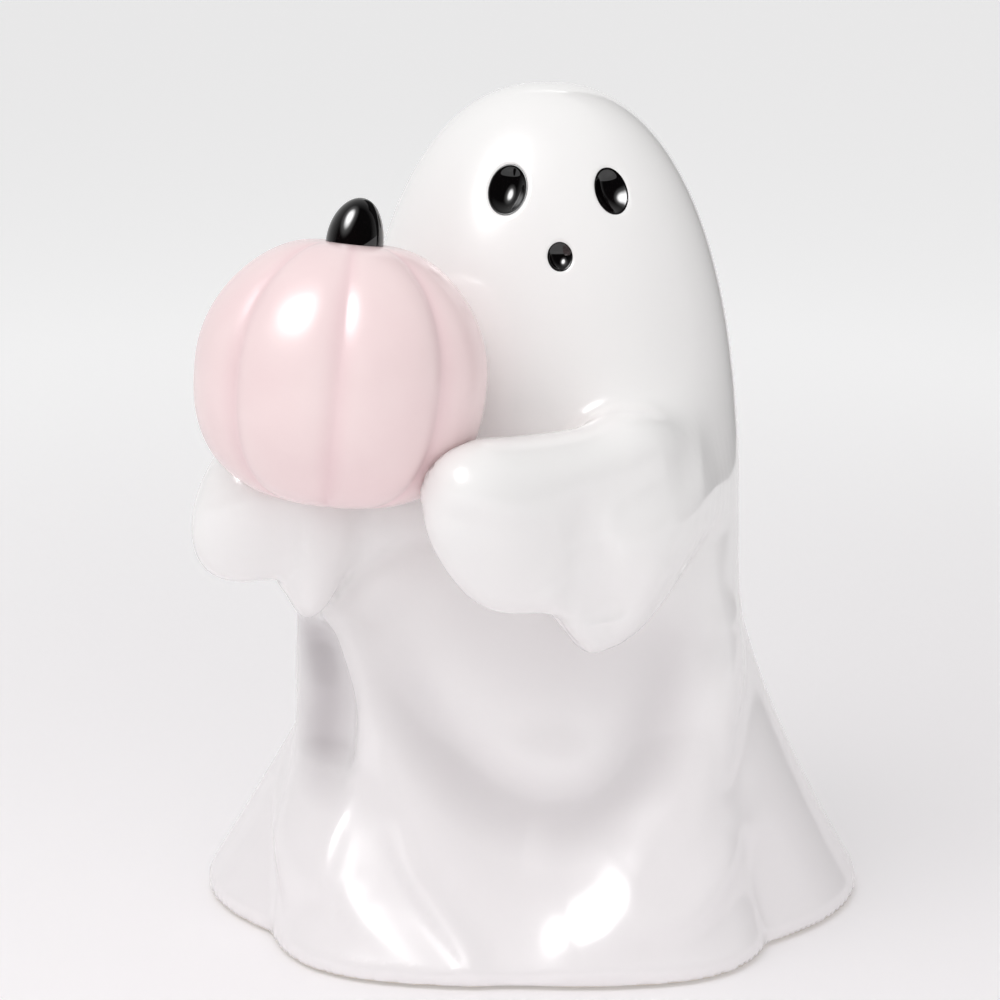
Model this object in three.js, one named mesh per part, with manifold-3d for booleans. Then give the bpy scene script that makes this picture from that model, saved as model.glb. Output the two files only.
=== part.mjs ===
// Glazed ceramic ghost that hugs a pumpkin: hollow cast body, two luted sleeves, hollow pumpkin with
// its stem, black glaze in the eye and mouth dimples, and felt pads under the base.
// Millimetres, +Z up, the face towards -Y. A bearing is an angle from straight ahead, positive
// towards the ghost's own left hand (+X).
import * as THREE from "three";
import { mergeVertices } from "three/addons/utils/BufferGeometryUtils.js";
import Module from "manifold-3d";

const wasm = await Module();
wasm.setup();

// Clearances and walls
const FIT = 0.3; // gap between two pieces that are luted or seated
const BODY_WALL = 5; // cast thickness of the body, measured level
const BODY_FLOOR = 5; // thickness of the body's closed base
const PUMPKIN_WALL = 4;
const GLAZE_THICKNESS = 0.8; // black glaze pooled in the face dimples

// Head and chest, measured from the ghost's upright axis
const TOTAL_HEIGHT = 240;
const SHOULDER_HEIGHT = 115; // where the dome starts
const HEAD_RADIUS = 56.5; // half the width below the dome
const CHEST_DEPTH = 54; // axis to the front of the chest
const BACK_DEPTH = 52; // axis to the back
const DOME_POWER = 2.3; // 2 is an ellipse, more is fuller
const RIGHT_SWELL = 17.3; // cloth that hangs out on the ghost's right, under the pumpkin
const RIGHT_SWELL_TOP = 175;
const RIGHT_SWELL_FULL = 105;
const SWELL_BACK = { gone: 125, full: 80 }; // bearings between which the swell dies out behind

// Front panel of the cloth, which hangs straight and kicks out at the hem
const PANEL_HEM_LEFT = 66.5;
const PANEL_HEM_RIGHT = 81.5;
const PANEL_HEM_FRONT = 86;
const PANEL_KICK_HEIGHT = 62;
const PANEL_KICK_POWER = 1.6;
const PANEL_SQUARENESS = 3.6; // section power at the hem
const CHEST_ROUNDNESS = 2.1; // section power at the head
const SQUARE_BELOW = 60;
const ROUND_ABOVE = 150;

// Skirt behind the panel, which flares wide on both sides and at the back
const SKIRT_LEFT = { waist: 54.7, hem: 93.7, top: 105, power: 1.5 };
const SKIRT_RIGHT = { waist: 55, hem: 101, top: 86, power: 1.08 };
const SKIRT_BACK = { waist: 49, hem: 82, top: 110, power: 1.5 };
const SKIRT_FRONT = { waist: 49, hem: 73, top: 105, power: 1.5 };
const SKIRT_CREASE = 3; // softness of the crease where panel and skirt meet
const HEM_LIP = 4; // height of the hem's upright edge
const HEM_ROUND = 1.2; // radius of the glazed foot
const PLEAT_COUNT = 7; // soft pleats round the back half
const PLEAT_DEPTH = 2;
const PLEAT_TOP = 90;

// Cloth folds of the front panel: points are [across, height], rise is proud of the panel
const FOLDS = [
  { rise: 3.5, width: 8, path: [[-62, 104], [-54, 81], [-45, 62], [-34, 44], [-22, 30]] },
  {
    rise: -4,
    width: 10,
    path: [[-46, 92], [-40, 74], [-30, 58], [-16, 46], [0, 41], [14, 43], [25, 52], [31, 68], [36, 86]],
  },
  { rise: 3.5, width: 8, path: [[52, 88], [49, 68], [44, 51], [36, 36], [24, 26]] },
  { rise: -9, width: 8.3, path: [[-72, 99], [-68, 89], [-63, 70], [-64, 57], [-64, 49]] },
  { rise: 4, width: 13, path: [[-78, 26], [-68, 28], [-56, 26]] },
  { rise: 1.8, width: 10, path: [[-7, 36], [15, 31], [27, 26]] },
  { rise: 6, width: 7.6, path: [[51, 34], [38, 20], [25, 17], [18, 16]] },
];
const FOLD_END = 0.2; // share of a fold's path over which each end dies out

// Pumpkin and stem
const PUMPKIN_WIDTH = 79.2;
const PUMPKIN_HEIGHT = 72.5;
const PUMPKIN_SEAT = 133.3; // height of its underside
const PUMPKIN_BEARING = -37.8;
const PUMPKIN_BEDDING = 1.5; // how far the chest is let into it
const PUMPKIN_TOP_POWER = 2;
const PUMPKIN_BASE_POWER = 2.5;
const PUMPKIN_LEAN = 6; // degrees towards the ghost's left
const PUMPKIN_TIP = 5; // degrees back towards the chest
const LOBES = 8;
const LOBE_TURN = 24; // degrees from straight ahead to a lobe's middle
const GROOVE_DEPTH = 2.6;
const GROOVE_SOFTNESS = 0.09;
const CROWN_DIP = 3;
const CROWN_DIP_WIDTH = 11;
const PUMPKIN_VENT = 8; // diameter of the hole under the pumpkin
const STEM_WIDTH = 15.5;
const STEM_HEIGHT = 12.6; // above the pumpkin's dip
const STEM_ROOT = 3; // below it
const STEM_FULLNESS = 1; // 1 is an egg, less is fuller

// Sleeves, which reach round the pumpkin a little above its seat. Stations run from the shoulder to
// the hand: a bearing, then shares. Off is the stand-off of the sleeve's middle from the body as a
// share of its reach, thick is a share of its thickness, and top and hem are heights from the
// sleeve's top as shares of its height. A hand's top is blunter the higher its handTop.
const ARM_HEIGHT = 130; // level at which the stand-off is measured
const LEFT_SLEEVE = {
  top: PUMPKIN_SEAT + 20.7,
  tall: 49,
  thickness: 36,
  reach: 50,
  handTop: 4,
  stations: [
    { bearing: 66, off: -1.05, thick: 0.6, top: -0.45, hem: -0.72 },
    { bearing: 55, off: -0.8, thick: 0.75, top: -0.28, hem: -0.8 },
    { bearing: 44, off: -0.44, thick: 0.9, top: -0.14, hem: -0.94 },
    { bearing: 32, off: -0.05, thick: 0.96, top: -0.02, hem: -1.06 },
    { bearing: 19, off: 0.2, thick: 1, top: 0.05, hem: -1.18 },
    { bearing: 9, off: 0.34, thick: 1, top: 0, hem: -1.27 },
    { bearing: 4, off: 0.41, thick: 0.97, top: -0.01, hem: -1.14 },
    { bearing: 0, off: 0.48, thick: 0.94, top: -0.01, hem: -1 },
    { bearing: -6, off: 0.62, thick: 0.95, top: 0, hem: -0.97 },
    { bearing: -12, off: 0.8, thick: 0.97, top: 0.02, hem: -0.9 },
    { bearing: -17.3, off: 1, thick: 0.97, top: 0.02, hem: -0.72 },
  ],
};
const RIGHT_SLEEVE = {
  top: PUMPKIN_SEAT + 17.7,
  tall: 48,
  thickness: 38,
  reach: 46,
  handTop: 2.1,
  stations: [
    { bearing: -62, off: -0.34, thick: 0.68, top: -0.27, hem: -0.76 },
    { bearing: -57, off: 0, thick: 0.76, top: -0.19, hem: -0.92 },
    { bearing: -55.5, off: 0.17, thick: 0.74, top: -0.15, hem: -1 },
    { bearing: -55, off: 0.31, thick: 0.82, top: -0.08, hem: -1.14 },
    { bearing: -55.2, off: 0.4, thick: 0.85, top: -0.04, hem: -1.15 },
    { bearing: -55.6, off: 0.49, thick: 0.88, top: -0.01, hem: -1.01 },
    { bearing: -56, off: 0.57, thick: 0.9, top: 0, hem: -0.91 },
    { bearing: -58, off: 0.74, thick: 1, top: 0, hem: -0.96 },
    { bearing: -60.5, off: 1, thick: 1, top: -0.12, hem: -1.08 },
  ],
};
const SLEEVE_POWER = 2.4; // squareness of a sleeve's section
const SLEEVE_END = 25; // length of the rounded hand
const SLEEVE_END_POWER = 2.1; // 2 is a round end, more is blunter
const HAND_TOP_FROM = 0.6; // level from which a hand has its top's bluntness, 1 is the very top
const SLEEVE_HEM_THIN = 0.6; // the hem's thickness as a share of the arm's

// Face
const FACE_TURN = 4.9; // degrees towards the ghost's left
const MOUTH_TURN = 4;
const EYE_SPACING = 28.4;
const RIGHT_EYE = { across: 12, tall: 16.4, deep: 3.6, drop: 26.3 }; // drop is from the crown
const LEFT_EYE = { across: 10.8, tall: 15.1, deep: 3.6, drop: 26.9 };
const MOUTH = { across: 7.5, tall: 8.9, deep: 2.6, drop: 43.8 };
const DIMPLE_MOUTH = 1.35; // how far a dimple's tool stands out past its rim, in half dimples

// Underside
const VENT_DIAMETER = 14; // drain hole in the base
const PAD_DIAMETER = 13;
const PAD_THICKNESS = 1;
const PAD_INSET = 17; // hem edge to a pad's middle
const PAD_BEARINGS = [-140, -42, 42, 140];

// Mesh fineness
const BODY_SIDES = 72;
const BODY_SKIRT_ROWS = 20;
const BODY_DOME_ROWS = 11;
const SLEEVE_SIDES = 20;
const SLEEVE_ROWS = 16; // along the arm
const HAND_ROWS = 7; // round the hand
const PUMPKIN_SIDES = 64;
const PUMPKIN_ROWS = 16;
const STEM_ROWS = 10;
const DIMPLE_SIDES = 20;
const DIMPLE_ROWS = 7;

const radians = THREE.MathUtils.degToRad;
const smooth = (value, low, high) => THREE.MathUtils.smoothstep(value, low, high);
const power = (value, exponent) => Math.sign(value) * Math.abs(value) ** exponent;
const steps = (count) => Array.from({ length: count + 1 }, (_, i) => i / count);
const baseHeight = PAD_THICKNESS;

// A profile of [radius, height] points turned about +Z, welded into one closed skin.
function turned(profile, sides) {
  const points = profile.map(([radius, height]) => new THREE.Vector2(radius, height));
  return weld(new THREE.LatheGeometry(points, sides).rotateX(Math.PI / 2));
}

function weld(geometry) {
  geometry.deleteAttribute("normal");
  geometry.deleteAttribute("uv");
  return mergeVertices(geometry, 1e-4);
}

// Moves each point of a geometry by a function from one Vector3 to another.
function shaped(geometry, move) {
  const position = geometry.getAttribute("position");
  const point = new THREE.Vector3();
  for (let i = 0; i < position.count; i++) {
    const placed = move(point.fromBufferAttribute(position, i).clone());
    position.setXYZ(i, placed.x, placed.y, placed.z);
  }
  return geometry;
}

function solid(geometry) {
  const vertProperties = geometry.getAttribute("position").array;
  const triVerts = new Uint32Array(geometry.index.array);
  return new wasm.Manifold(new wasm.Mesh({ numProp: 3, vertProperties, triVerts }));
}

function geometryOf(body) {
  const { vertProperties, triVerts } = body.getMesh();
  const geometry = new THREE.BufferGeometry();
  geometry.setAttribute("position", new THREE.BufferAttribute(vertProperties, 3));
  geometry.setIndex(new THREE.BufferAttribute(triVerts, 1));
  const faceted = geometry.toNonIndexed();
  faceted.computeVertexNormals();
  return faceted;
}

// Rounded-box section: the distance from the axis to its side along a bearing.
function section(bearing, sides, squareness) {
  const across = Math.sin(bearing);
  const ahead = Math.cos(bearing);
  const width = across > 0 ? sides.left : sides.right;
  const depth = ahead > 0 ? sides.front : sides.back;
  const sum = Math.abs(across / width) ** squareness + Math.abs(ahead / depth) ** squareness;
  return sum ** (-1 / squareness);
}

function softMax(a, b, blend) {
  const near = Math.max(blend - Math.abs(a - b), 0) / blend;
  return Math.max(a, b) + (near * near * blend) / 4;
}

// 1 up to the shoulders, falling to 0 at the crown.
function domeShare(height) {
  const rise = (height - SHOULDER_HEIGHT) / (TOTAL_HEIGHT - SHOULDER_HEIGHT);
  return (1 - THREE.MathUtils.clamp(rise, 0, 1) ** DOME_POWER) ** (1 / DOME_POWER);
}

// 1 on the hem's lip, falling to 0 at the top of a flare.
function flare(height, top, steepness) {
  const climb = Math.max(0, height - baseHeight - HEM_LIP) / (top - baseHeight - HEM_LIP);
  return Math.max(0, 1 - climb) ** steepness;
}

function flared(side, height) {
  return side.waist + (side.hem - side.waist) * flare(height, side.top, side.power);
}

function panelSides(bearing, height) {
  const dome = domeShare(height);
  const kick = flare(height, PANEL_KICK_HEIGHT, PANEL_KICK_POWER);
  const behind = smooth(Math.abs(bearing), radians(SWELL_BACK.full), radians(SWELL_BACK.gone));
  const swell = RIGHT_SWELL * (1 - behind) * (1 - smooth(height, RIGHT_SWELL_FULL, RIGHT_SWELL_TOP));
  const rightWaist = HEAD_RADIUS + RIGHT_SWELL;
  return {
    left: HEAD_RADIUS * dome + (PANEL_HEM_LEFT - HEAD_RADIUS) * kick,
    right: HEAD_RADIUS * dome + swell + (PANEL_HEM_RIGHT - rightWaist) * kick,
    front: CHEST_DEPTH * dome + (PANEL_HEM_FRONT - CHEST_DEPTH) * kick,
    back: BACK_DEPTH * dome,
  };
}

function skirtSides(height) {
  return {
    left: flared(SKIRT_LEFT, height),
    right: flared(SKIRT_RIGHT, height),
    front: flared(SKIRT_FRONT, height),
    back: flared(SKIRT_BACK, height),
  };
}

// How far a point of the front panel stands proud because of one fold.
function foldRise(fold, across, height) {
  let best = { distance: Infinity, along: 0 };
  const last = fold.path.length - 1;
  for (let i = 0; i < last; i++) {
    const [ax, az] = fold.path[i];
    const [bx, bz] = fold.path[i + 1];
    const length = Math.hypot(bx - ax, bz - az);
    const share = ((across - ax) * (bx - ax) + (height - az) * (bz - az)) / length ** 2;
    const held = THREE.MathUtils.clamp(share, 0, 1);
    const distance = Math.hypot(across - ax - held * (bx - ax), height - az - held * (bz - az));
    if (distance < best.distance) best = { distance, along: i + held };
  }
  const ends = Math.min(best.along, last - best.along) / last;
  const fade = smooth(ends, -FOLD_END, FOLD_END);
  return fold.rise * fade * Math.exp(-((best.distance / fold.width) ** 2));
}

function bodyRadius(bearing, height) {
  const squareness = THREE.MathUtils.lerp(
    PANEL_SQUARENESS,
    CHEST_ROUNDNESS,
    smooth(height, SQUARE_BELOW, ROUND_ABOVE),
  );
  const panel = section(bearing, panelSides(bearing, height), squareness);
  if (height > SKIRT_BACK.top) return panel;
  const skirt = section(bearing, skirtSides(height), 2);
  const radius = softMax(panel, skirt, SKIRT_CREASE);
  const ahead = Math.cos(bearing);
  const front = smooth(ahead, 0, 0.5);
  const folds = FOLDS.reduce((sum, fold) => sum + foldRise(fold, radius * Math.sin(bearing), height), 0);
  const drop = Math.max(0, 1 - height / PLEAT_TOP);
  const pleat = PLEAT_DEPTH * Math.cos(PLEAT_COUNT * bearing) * drop * smooth(-ahead, 0, 0.6);
  return radius + front * folds + pleat;
}

function polar(bearing, radius, height) {
  return new THREE.Vector3(radius * Math.sin(bearing), -radius * Math.cos(bearing), height);
}

// The ghost's whole outer form, grown or shrunk level by an allowance.
function bodyForm(allowance, sides, skirtRows, domeRows) {
  const bottom = baseHeight + (allowance < 0 ? BODY_FLOOR : -allowance);
  const lip = allowance < 0 ? 0 : HEM_ROUND;
  const foot = bottom + lip;
  const skirt = steps(skirtRows).map((share) => [1, foot + (SHOULDER_HEIGHT - foot) * share]);
  const dome = steps(domeRows).slice(1).map((share) => {
    const angle = (share * Math.PI) / 2;
    const rise = Math.sin(angle) ** (2 / DOME_POWER);
    return [share < 1 ? 1 : 0, SHOULDER_HEIGHT + (TOTAL_HEIGHT - SHOULDER_HEIGHT) * rise];
  });
  const base = lip ? [[0, bottom], [1, bottom]] : [[0, bottom]];
  const blank = turned([...base, ...skirt, ...dome], sides);
  return shaped(blank, (point) => {
    const share = Math.hypot(point.x, point.y);
    const bearing = Math.atan2(point.x, -point.y);
    const rise = Math.max(0, point.z - SHOULDER_HEIGHT) / (TOTAL_HEIGHT - SHOULDER_HEIGHT);
    const outer = bodyRadius(bearing, point.z) - (lip && point.z <= bottom ? HEM_ROUND : 0);
    const grown = outer + allowance * Math.min(1, outer / HEAD_RADIUS);
    return polar(bearing, share > 0.5 ? grown : 0, point.z + allowance * rise);
  });
}

// A sleeve: a blank bent along its stations, shoulder first.
function sleeveForm(form) {
  const { top: crest, tall, thickness, reach: farthest, handTop, stations } = form;
  const places = new THREE.CatmullRomCurve3(
    stations.map((s) => new THREE.Vector3(s.bearing, s.off * farthest, s.thick * thickness)),
    false, "catmullrom");
  const heights = new THREE.CatmullRomCurve3(
    stations.map((s) => new THREE.Vector3(crest + s.top * tall, crest + s.hem * tall, 0)),
    false, "catmullrom");
  const middle = (share) => {
    const place = places.getPoint(share);
    const bearing = radians(place.x);
    return polar(bearing, bodyRadius(bearing, ARM_HEIGHT) + place.y, 0);
  };
  const length = steps(SLEEVE_ROWS).slice(1).reduce(
    (sum, share) => sum + middle(share).distanceTo(middle(share - 1 / SLEEVE_ROWS)), 0);
  const wrist = 1 - SLEEVE_END / length;
  const arm = steps(SLEEVE_ROWS).map((share) => [1, share * wrist]);
  const hand = steps(HAND_ROWS).slice(1).map((share) => {
    const angle = (share * Math.PI) / 2;
    return [share < 1 ? 1 : 0, wrist + (1 - wrist) * Math.sin(angle) ** (2 / SLEEVE_END_POWER)];
  });
  const bent = shaped(turned([[0, 0], ...arm, ...hand], SLEEVE_SIDES), (point) => {
    const share = THREE.MathUtils.clamp(point.z, 0, 1);
    const angle = Math.atan2(point.y, point.x);
    const { x: top, y: hem } = heights.getPoint(share);
    const ahead = middle(Math.min(1, share + 0.02)).sub(middle(Math.max(0, share - 0.02))).normalize();
    const outward = new THREE.Vector3(-ahead.y, ahead.x, 0);
    const level = power(Math.sin(angle), 2 / SLEEVE_POWER);
    const fullness = THREE.MathUtils.lerp(SLEEVE_HEM_THIN, 1, smooth(level, -1, 0.3));
    const beyond = Math.max(0, (share - wrist) / (1 - wrist));
    const blunt = THREE.MathUtils.lerp(SLEEVE_END_POWER, handTop, smooth(level, 0, HAND_TOP_FROM));
    const size = Math.hypot(point.x, point.y) > 0.5 ? (1 - beyond ** blunt) ** (1 / blunt) : 0;
    const reach = power(Math.cos(angle), 2 / SLEEVE_POWER) * (places.getPoint(share).z / 2) * fullness;
    const placed = middle(share).addScaledVector(outward, reach * size);
    placed.z = (top + hem) / 2 + (level * size * (top - hem)) / 2;
    return placed;
  });
  return solid(bent);
}

// The pumpkin, shrunk by an allowance, upright on its own middle.
function pumpkinForm(allowance, sides, rows) {
  const radius = PUMPKIN_WIDTH / 2 - allowance;
  const rise = PUMPKIN_HEIGHT / 2 - allowance;
  const profile = steps(rows).map((share, i) => {
    const angle = (share - 0.5) * Math.PI;
    const fullness = angle < 0 ? PUMPKIN_BASE_POWER : PUMPKIN_TOP_POWER;
    const across = i === 0 || i === rows ? 0 : Math.cos(angle) ** (2 / fullness);
    return [radius * across, rise * power(Math.sin(angle), 2 / fullness)];
  });
  return shaped(turned(profile, sides), (point) => {
    const reach = Math.hypot(point.x, point.y);
    const bearing = Math.atan2(point.x, -point.y);
    const swing = Math.sin((LOBES / 2) * (bearing - radians(LOBE_TURN)) + Math.PI / 2);
    const lobe = Math.sqrt(swing * swing + GROOVE_SOFTNESS ** 2);
    const groove = (GROOVE_DEPTH * (1 - Math.min(1, lobe)) ** 2 * reach) / radius;
    const dip = CROWN_DIP * Math.exp(-((reach / CROWN_DIP_WIDTH) ** 2)) * (point.z > 0 ? 1 : 0.4);
    return polar(bearing, reach - groove, point.z - Math.sign(point.z) * dip);
  });
}

const pumpkinBearing = radians(PUMPKIN_BEARING);
const pumpkinLevel = PUMPKIN_SEAT + PUMPKIN_HEIGHT / 2;
const pumpkinReach = bodyRadius(pumpkinBearing, pumpkinLevel) + PUMPKIN_WIDTH / 2 - PUMPKIN_BEDDING;
const pumpkinPlace = new THREE.Matrix4()
  .makeRotationFromEuler(new THREE.Euler(radians(-PUMPKIN_TIP), radians(PUMPKIN_LEAN), 0))
  .setPosition(polar(pumpkinBearing, pumpkinReach, pumpkinLevel));
const pumpkinAt = (allowance, sides, rows) =>
  solid(pumpkinForm(allowance, sides, rows).applyMatrix4(pumpkinPlace));

// A bowl-shaped tool of parabolic section on the face, its rim level with the skin.
function dimple(feature, bearing, height, shrink) {
  const rows = steps(DIMPLE_ROWS).map((share) => {
    const reach = share * DIMPLE_MOUTH;
    return [reach, reach ** 2 - 1];
  });
  const shape = turned([...rows, [0, DIMPLE_MOUTH ** 2 - 1]], DIMPLE_SIDES);
  shape.scale(feature.across / 2 - shrink, feature.tall / 2 - shrink, feature.deep - shrink);
  const facing = faceNormal(bearing, height);
  const turn = new THREE.Matrix4().lookAt(facing, new THREE.Vector3(), new THREE.Vector3(0, 0, 1));
  shape.applyMatrix4(turn.setPosition(polar(bearing, bodyRadius(bearing, height), height)));
  return solid(shape);
}

function faceNormal(bearing, height) {
  const span = 1;
  const at = (b, h) => polar(b, bodyRadius(b, h), h);
  const level = at(bearing + 0.02, height).sub(at(bearing - 0.02, height));
  const upward = at(bearing, height + span).sub(at(bearing, height - span));
  return level.cross(upward).normalize();
}

function column(diameter, low, high, sides = 24) {
  const radius = diameter / 2;
  return turned([[0, low], [radius, low], [radius, high], [0, high]], sides);
}

const faceCentre = radians(FACE_TURN);
const eyeReach = bodyRadius(faceCentre, TOTAL_HEIGHT - RIGHT_EYE.drop);
const eyeSwing = Math.asin(EYE_SPACING / 2 / eyeReach);
const features = {
  right_eye_glaze: [RIGHT_EYE, faceCentre - eyeSwing, TOTAL_HEIGHT - RIGHT_EYE.drop],
  left_eye_glaze: [LEFT_EYE, faceCentre + eyeSwing, TOTAL_HEIGHT - LEFT_EYE.drop],
  mouth_glaze: [MOUTH, radians(MOUTH_TURN), TOTAL_HEIGHT - MOUTH.drop],
};

const outer = solid(bodyForm(0, BODY_SIDES, BODY_SKIRT_ROWS, BODY_DOME_ROWS));
const grown = solid(bodyForm(FIT, BODY_SIDES, BODY_SKIRT_ROWS, BODY_DOME_ROWS));
const cavity = solid(bodyForm(-BODY_WALL, BODY_SIDES / 2, BODY_SKIRT_ROWS / 2, BODY_DOME_ROWS - 3));
const vent = solid(column(VENT_DIAMETER, baseHeight - 1, baseHeight + BODY_FLOOR + 1));

function ghostBody() {
  let body = outer.subtract(cavity).subtract(vent);
  for (const [feature, bearing, height] of Object.values(features)) {
    body = body.subtract(dimple(feature, bearing, height, 0));
  }
  return body;
}

function glaze([feature, bearing, height]) {
  const pool = dimple(feature, bearing, height, FIT).intersect(outer);
  return pool.subtract(dimple(feature, bearing, height, FIT + GLAZE_THICKNESS));
}

const pumpkinSkin = pumpkinAt(0, PUMPKIN_SIDES, PUMPKIN_ROWS);
const pumpkinGrown = pumpkinAt(-FIT, PUMPKIN_SIDES, PUMPKIN_ROWS);

function pumpkinShell() {
  const hollow = pumpkinAt(PUMPKIN_WALL, PUMPKIN_SIDES / 2, PUMPKIN_ROWS / 2);
  const hole = column(PUMPKIN_VENT, PUMPKIN_SEAT - PUMPKIN_WALL, PUMPKIN_SEAT + 4 * PUMPKIN_WALL);
  const middle = polar(pumpkinBearing, pumpkinReach, 0);
  hole.translate(middle.x, middle.y, 0);
  return pumpkinSkin.subtract(hollow).subtract(solid(hole)).subtract(grown);
}

function stem() {
  const dip = PUMPKIN_HEIGHT / 2 - CROWN_DIP;
  const rows = steps(STEM_ROWS).map((share, i) => {
    const angle = (share - 0.5) * Math.PI;
    const reach = Math.sin(angle) > 0 ? STEM_HEIGHT : STEM_ROOT;
    const across = i === 0 || i === STEM_ROWS ? 0 : Math.cos(angle) ** STEM_FULLNESS;
    return [(STEM_WIDTH / 2) * across, dip + reach * Math.sin(angle)];
  });
  return solid(turned(rows, 24).applyMatrix4(pumpkinPlace)).subtract(pumpkinGrown);
}

function sleeve(form) {
  return sleeveForm(form).subtract(grown).subtract(pumpkinGrown);
}

function pad(bearingDegrees) {
  const bearing = radians(bearingDegrees);
  const place = polar(bearing, bodyRadius(bearing, baseHeight) - PAD_INSET, 0);
  return solid(column(PAD_DIAMETER, 0, PAD_THICKNESS).translate(place.x, place.y, 0));
}

const whiteGlaze = new THREE.MeshStandardMaterial({ color: 0xf2efee, roughness: 0.12, metalness: 0 });
const pinkGlaze = new THREE.MeshStandardMaterial({ color: 0xe9cfd2, roughness: 0.15, metalness: 0 });
const blackGlaze = new THREE.MeshStandardMaterial({ color: 0x0b0a0b, roughness: 0.08, metalness: 0 });
const felt = new THREE.MeshStandardMaterial({ color: 0xd8d6d2, roughness: 0.95, metalness: 0 });

const ghost = new THREE.Group();

function addPiece(name, body, material) {
  const mesh = new THREE.Mesh(geometryOf(body), material.clone());
  mesh.name = name;
  ghost.add(mesh);
}

addPiece("ghost_body", ghostBody(), whiteGlaze);
addPiece("left_sleeve", sleeve(LEFT_SLEEVE), whiteGlaze);
addPiece("right_sleeve", sleeve(RIGHT_SLEEVE), whiteGlaze);
addPiece("pumpkin_shell", pumpkinShell(), pinkGlaze);
addPiece("pumpkin_stem", stem(), blackGlaze);
for (const [name, place] of Object.entries(features)) addPiece(name, glaze(place), blackGlaze);
PAD_BEARINGS.forEach((bearing, i) => addPiece(`felt_pad_${i + 1}`, pad(bearing), felt));

// The part stands on Z = 0 with the middle of its box over the origin.
const box = new THREE.Box3().setFromObject(ghost);
const centre = box.getCenter(new THREE.Vector3());
ghost.position.set(-centre.x, -centre.y, 0);

export default ghost;
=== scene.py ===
import math

import bmesh
import bpy
import numpy as np
from mathutils import Matrix, Vector


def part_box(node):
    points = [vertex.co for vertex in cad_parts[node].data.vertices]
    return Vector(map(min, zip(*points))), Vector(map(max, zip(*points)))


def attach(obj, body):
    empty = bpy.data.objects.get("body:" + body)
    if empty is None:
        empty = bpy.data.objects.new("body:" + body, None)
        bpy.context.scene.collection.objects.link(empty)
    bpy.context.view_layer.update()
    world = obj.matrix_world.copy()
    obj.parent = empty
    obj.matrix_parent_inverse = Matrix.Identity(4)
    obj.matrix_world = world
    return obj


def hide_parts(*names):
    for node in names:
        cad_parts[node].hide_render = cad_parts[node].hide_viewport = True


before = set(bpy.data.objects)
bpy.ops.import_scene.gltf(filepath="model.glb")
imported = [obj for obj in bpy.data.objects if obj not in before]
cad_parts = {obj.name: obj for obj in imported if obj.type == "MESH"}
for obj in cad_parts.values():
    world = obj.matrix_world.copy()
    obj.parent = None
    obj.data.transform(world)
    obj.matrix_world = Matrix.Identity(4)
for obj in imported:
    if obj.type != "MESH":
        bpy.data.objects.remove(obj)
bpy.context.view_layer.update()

# Ghost: a hollow slip casting in earthenware, with a drain hole in its closed base. Both sleeves
# are cast apart and luted on with slip, and one coat of white gloss glaze runs over all three.
# Sizes are millimetres from its upright axis, and a bearing is an angle from straight ahead.
MM = 0.001
TOTAL_HEIGHT = 240
SHOULDER_HEIGHT = 115  # where the dome starts
HEAD_RADIUS = 56.5
CHEST_DEPTH = 54  # axis to the front of the chest
BACK_DEPTH = 52
DOME_POWER = 2.3  # 2 is an ellipse, more is fuller
CROWN_BLEND = (180, 200)  # heights between which the crown takes over from the wall
RIGHT_SWELL = 17.3  # cloth that hangs out on the ghost's right, under the pumpkin
RIGHT_SWELL_TOP, RIGHT_SWELL_FULL = 175, 105
SWELL_BACK = (80, 125)  # bearings between which the swell dies out behind
PANEL_HEM = {"left": 66.5, "right": 81.5, "front": 86}
PANEL_KICK_HEIGHT, PANEL_KICK_POWER = 62, 1.6
PANEL_SQUARENESS, CHEST_ROUNDNESS = 3.6, 2.1
SQUARE_BELOW, ROUND_ABOVE = 60, 150
SKIRT = {  # waist, hem, height of the flare's top and its steepness
    "left": (54.7, 93.7, 105, 1.5),
    "right": (55, 101, 86, 1.08),
    "back": (49, 82, 110, 1.5),
    "front": (49, 73, 105, 1.5),
}
SKIRT_CREASE = 3
SKIRT_FADE = (5, 10)  # under and over the top of the back's flare, where the skirt dies out
HEM_LIP = 4
HEM_ROUND = 1.2
FOOT = 1  # height of the base, on its felt pads
PLEAT_COUNT, PLEAT_DEPTH, PLEAT_TOP = 7, 2, 90
PLEATS_FROM, FOLDS_FROM = 0.6, 0.5  # how far behind or ahead they have their full depth
QUADRANT_BLEND = 0.35  # share of the half width over which one side's curve eases into the next
NO_WIDTH = 1e-6
WELD_DISTANCE = 1e-5
FOLDS = [  # rise, width, path of (across, height)
    (3.5, 8, [(-62, 104), (-54, 81), (-45, 62), (-34, 44), (-22, 30)]),
    (-4, 10, [(-46, 92), (-40, 74), (-30, 58), (-16, 46), (0, 41), (14, 43), (25, 52), (31, 68),
              (36, 86)]),
    (3.5, 8, [(52, 88), (49, 68), (44, 51), (36, 36), (24, 26)]),
    (-9, 8.3, [(-69.5, 90), (-66, 82), (-63, 70), (-64, 57), (-64, 49)]),
    (4, 13, [(-78, 26), (-68, 28), (-56, 26)]),
    (1.8, 10, [(-7, 36), (15, 31), (27, 26)]),
    (5.5, 8.2, [(51, 34), (38, 20), (25, 17), (8, 11.5)]),
    (1.2, 5, [(-52, 62), (-56, 45), (-57, 25), (-52, 17), (-48, 14), (-28, 3)]),
    (2, 3.6, [(-42, 36), (-36, 26), (-30, 19), (-24.5, 13), (-21, 8), (-20, 4)]),
]
FOLD_END = 0.2  # share of a fold over which each end dies out
FOLD_REACH = 3  # widths beyond which a fold no longer tells
FOLD_STEPS = 4  # straight steps for each point of a fold's path
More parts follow.
